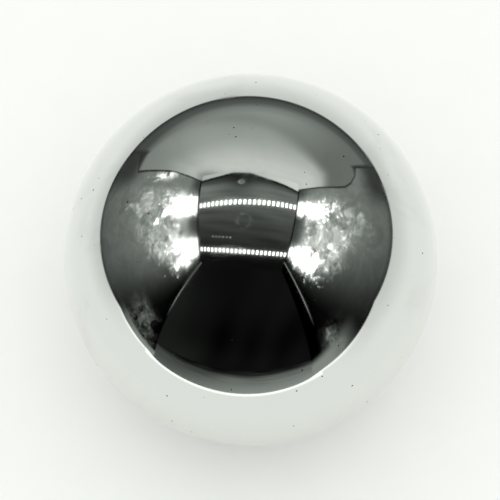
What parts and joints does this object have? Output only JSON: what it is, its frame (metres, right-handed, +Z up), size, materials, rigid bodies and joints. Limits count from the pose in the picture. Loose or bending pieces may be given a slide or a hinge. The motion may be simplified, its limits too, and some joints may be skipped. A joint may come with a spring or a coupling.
{
  "type": "silver ball",
  "caption": "Mirror-polished hollow stainless-steel ball, a plain sphere with no seam, hole or flat, that rests in a ring or dish.",
  "frame": {"origin": "centre of the ball", "axes": "+Z up, away from the seat that the ball rests in; +X and +Y are any two level directions, because the ball is the same all round"},
  "size_m": [0.07, 0.07, 0.07],
  "materials": {
    "mirror_steel": "mirror-polished stainless steel"
  },
  "bodies": {
    "root": {"ball": "mirror_steel"}
  },
  "joints": []
}
